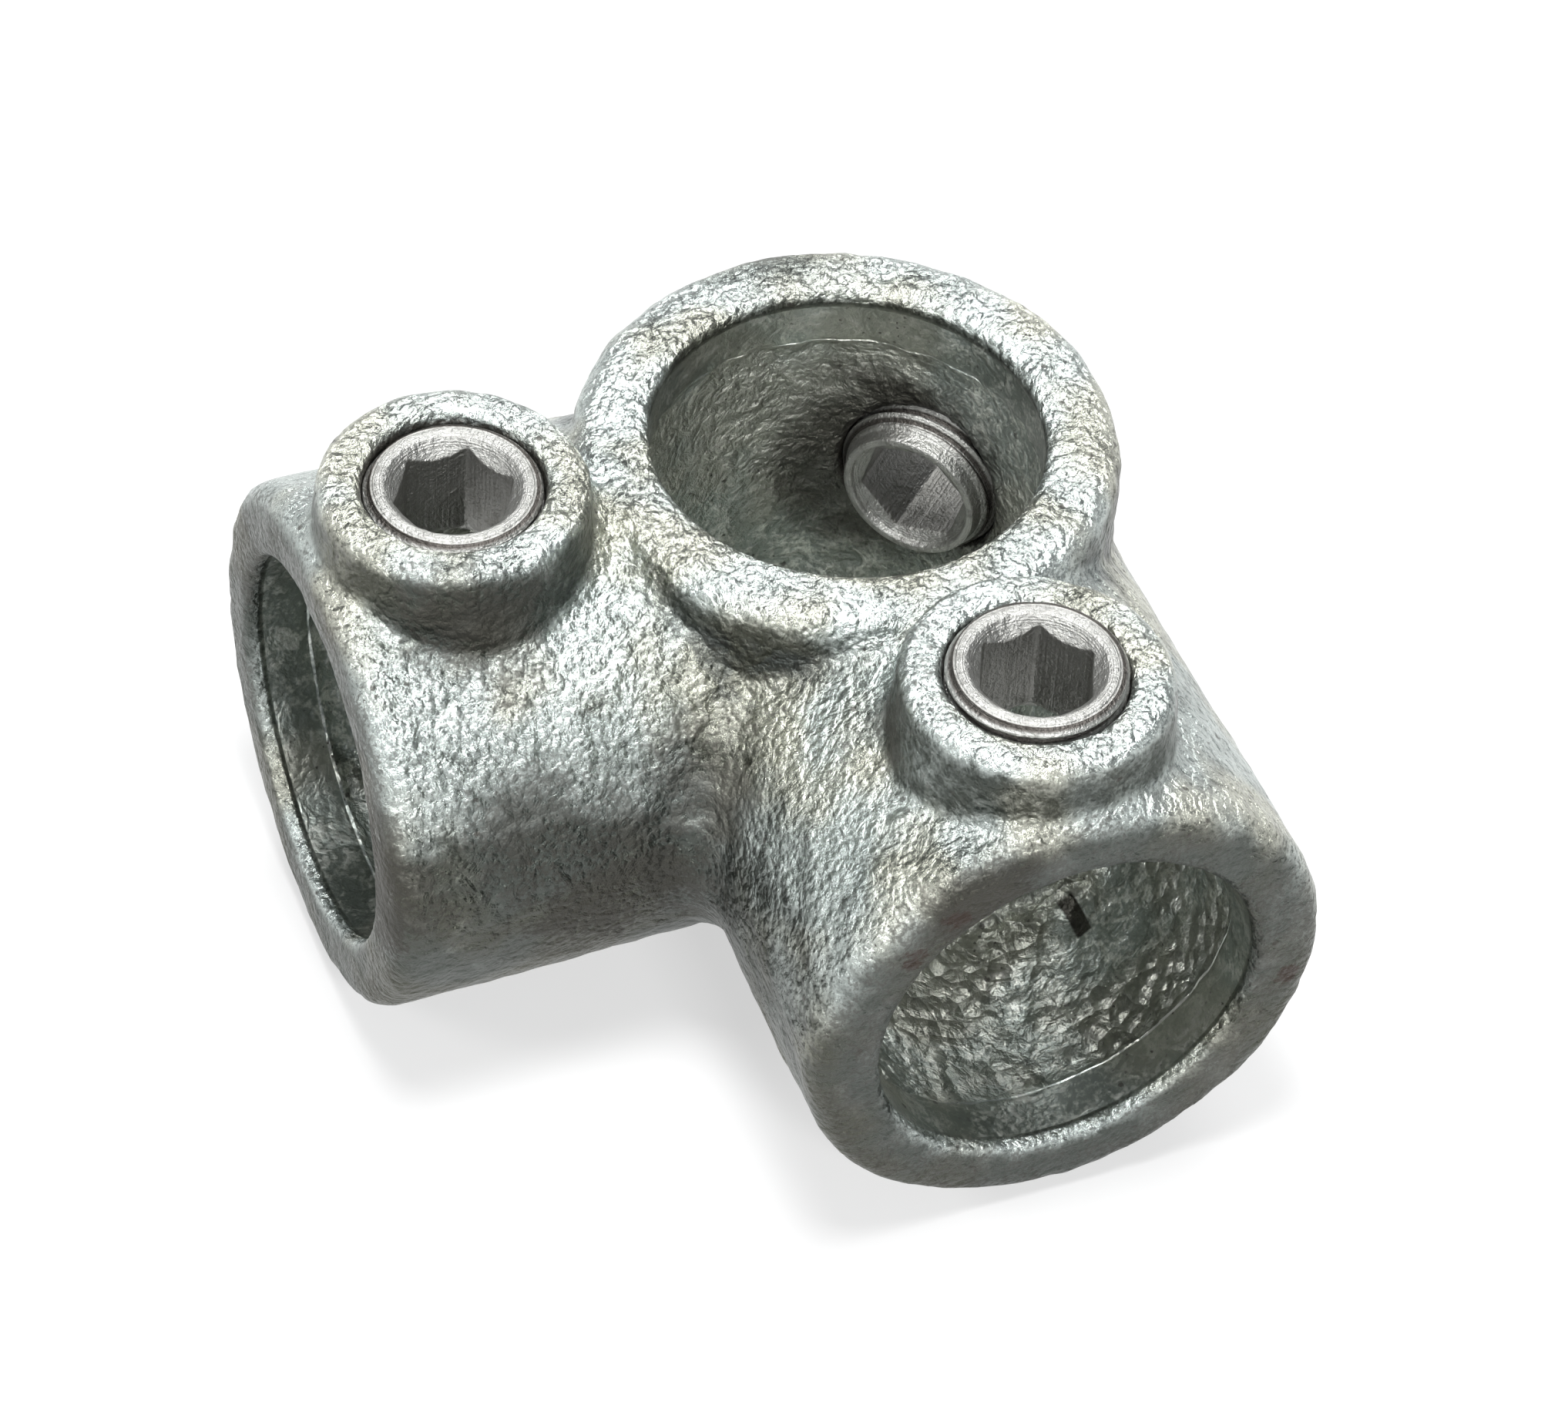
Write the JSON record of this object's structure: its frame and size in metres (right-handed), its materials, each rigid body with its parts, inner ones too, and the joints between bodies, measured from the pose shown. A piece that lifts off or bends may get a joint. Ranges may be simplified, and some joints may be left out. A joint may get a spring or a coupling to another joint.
{
  "type": "corner tube fitting",
  "caption": "Galvanised cast-iron corner fitting that joins an upright handrail tube to horizontal rails at right angles, with a hexagon-socket set screw in a boss on each socket.",
  "frame": {"origin": "point where the left rail's axis crosses the upright's axis", "axes": "+Z out of the upright socket, -X out of the left rail's socket, -Y out of the front rail's socket"},
  "size_m": [0.0799, 0.0786, 0.0547],
  "materials": {
    "galvanised_iron": "hot-dip galvanised over a rough casting, bright and slightly mottled",
    "screw_steel": "machined, satin, with dark grime in the thread"
  },
  "bodies": {
    "casting": {"fitting_body": "galvanised_iron"},
    "upright_screw": {"upright_set_screw": "screw_steel"},
    "left_rail_screw": {"left_rail_set_screw": "screw_steel"},
    "front_rail_screw": {"front_rail_set_screw": "screw_steel"}
  },
  "joints": [
    {"name": "upright_screw_travel", "type": "slide", "parent": "casting", "child": "upright_screw", "axis": [-0.7431, -0.6691, 0], "range_m": [-0.0099, 0.004]},
    {"name": "left_rail_screw_travel", "type": "slide", "parent": "casting", "child": "left_rail_screw", "axis": [0, 0, -1], "range_m": [-0.0072, 0.0067]},
    {"name": "front_rail_screw_travel", "type": "slide", "parent": "casting", "child": "front_rail_screw", "axis": [0, 0, -1], "range_m": [-0.0061, 0.0078]}
  ]
}
